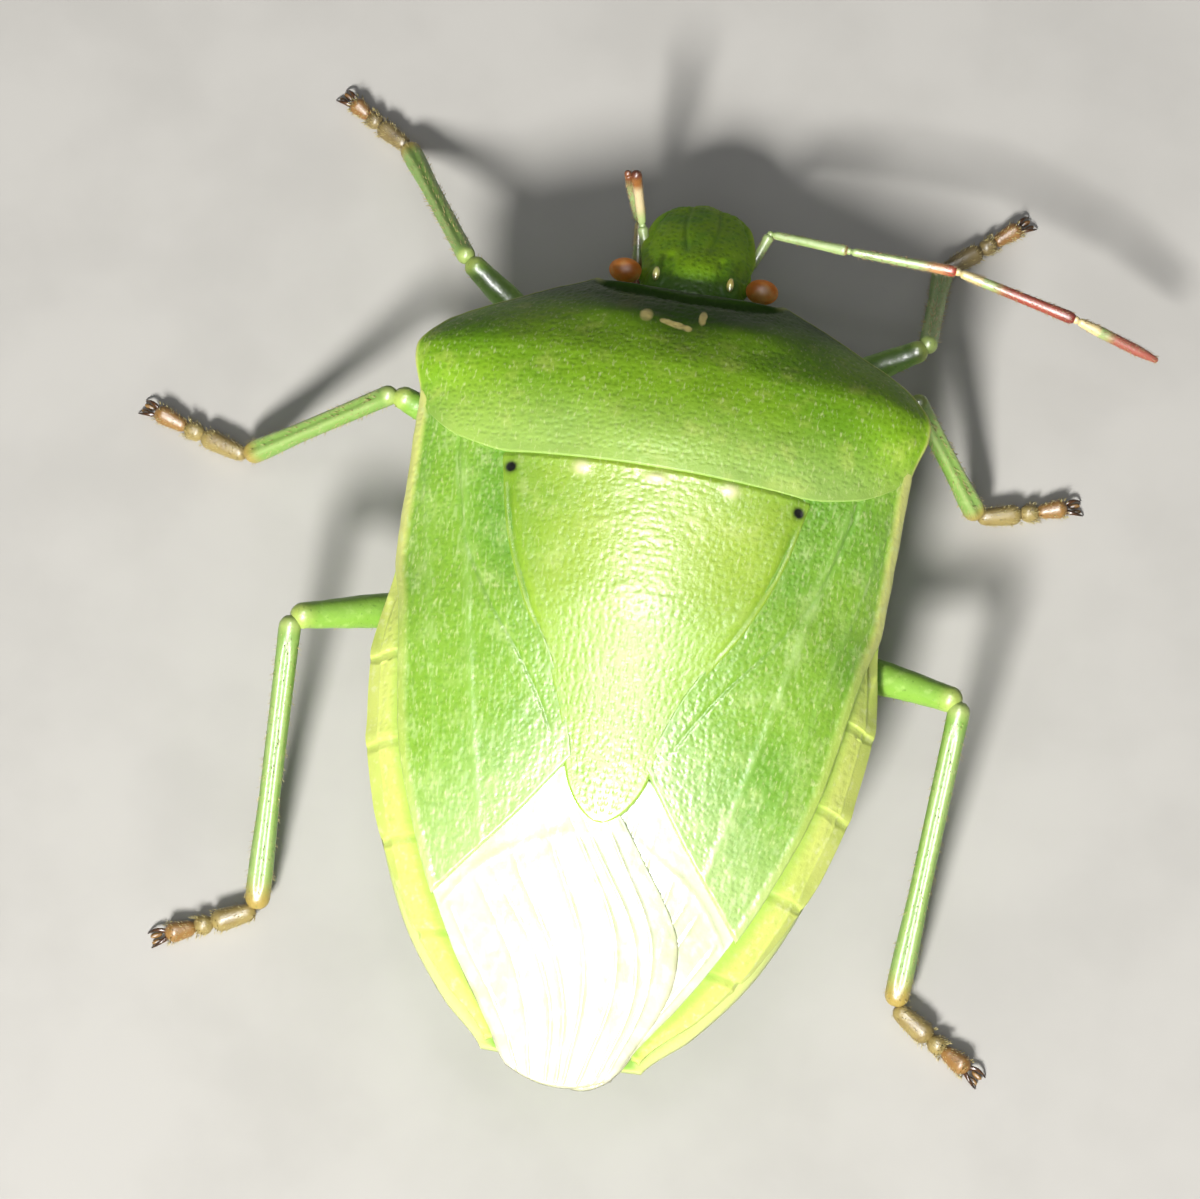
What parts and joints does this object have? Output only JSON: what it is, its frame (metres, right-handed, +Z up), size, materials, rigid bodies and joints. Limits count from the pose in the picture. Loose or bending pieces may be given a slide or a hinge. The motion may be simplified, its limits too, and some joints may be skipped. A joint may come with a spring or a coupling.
{
  "type": "green shield bug",
  "caption": "Adult green shield bug at rest on its feet, an antenna spread and the other folded under the head; still, life-size model.",
  "frame": {"origin": "middle of the outline, on the floor that the feet stand on", "axes": "+Z up, -Y towards the head, +X towards the animal's left side"},
  "size_m": [0.0149, 0.0156, 0.0045],
  "materials": {
    "head_green": "satin, finely pitted",
    "pronotum_green": "satin, finely pitted",
    "scutellum_green": "satin, finely pitted",
    "wing_green": "satin, finely pitted",
    "wing_membrane": "glossy film with raised veins",
    "margin_yellow": "satin",
    "belly_green": "satin",
    "leg_green": "satin, with fine hairs",
    "foot_brown": "satin, with fine hairs",
    "eye": "glossy, faceted",
    "antenna_green": "satin",
    "antenna_red": "satin, with fine hairs",
    "beak": "satin"
  },
  "bodies": {
    "root": {"head": "head_green", "eye_left": "eye", "eye_right": "eye", "beak": "beak", "pronotum": "pronotum_green", "scutellum": "scutellum_green", "corium_left": "wing_green", "corium_right": "wing_green", "membrane_left": "wing_membrane", "membrane_right": "wing_membrane", "connexivum_left": "margin_yellow", "connexivum_right": "margin_yellow", "thorax": "belly_green", "abdomen": "belly_green", "antenna_left_1": "antenna_green", "antenna_left_2": "antenna_green", "antenna_left_3": "antenna_red", "antenna_left_4": "antenna_red", "antenna_left_5": "antenna_red", "antenna_right_1": "antenna_green", "antenna_right_2": "antenna_green", "antenna_right_3": "antenna_red", "antenna_right_4": "antenna_red", "antenna_right_5": "antenna_red", "leg_fore_left_coxa": "leg_green", "leg_fore_left_femur": "leg_green", "leg_fore_left_tibia": "leg_green", "leg_fore_left_tarsus": "foot_brown", "leg_fore_right_coxa": "leg_green", "leg_fore_right_femur": "leg_green", "leg_fore_right_tibia": "leg_green", "leg_fore_right_tarsus": "foot_brown", "leg_middle_left_coxa": "leg_green", "leg_middle_left_femur": "leg_green", "leg_middle_left_tibia": "leg_green", "leg_middle_left_tarsus": "foot_brown", "leg_middle_right_coxa": "leg_green", "leg_middle_right_femur": "leg_green", "leg_middle_right_tibia": "leg_green", "leg_middle_right_tarsus": "foot_brown", "leg_hind_left_coxa": "leg_green", "leg_hind_left_femur": "leg_green", "leg_hind_left_tibia": "leg_green", "leg_hind_left_tarsus": "foot_brown", "leg_hind_right_coxa": "leg_green", "leg_hind_right_femur": "leg_green", "leg_hind_right_tibia": "leg_green", "leg_hind_right_tarsus": "foot_brown"}
  },
  "joints": []
}
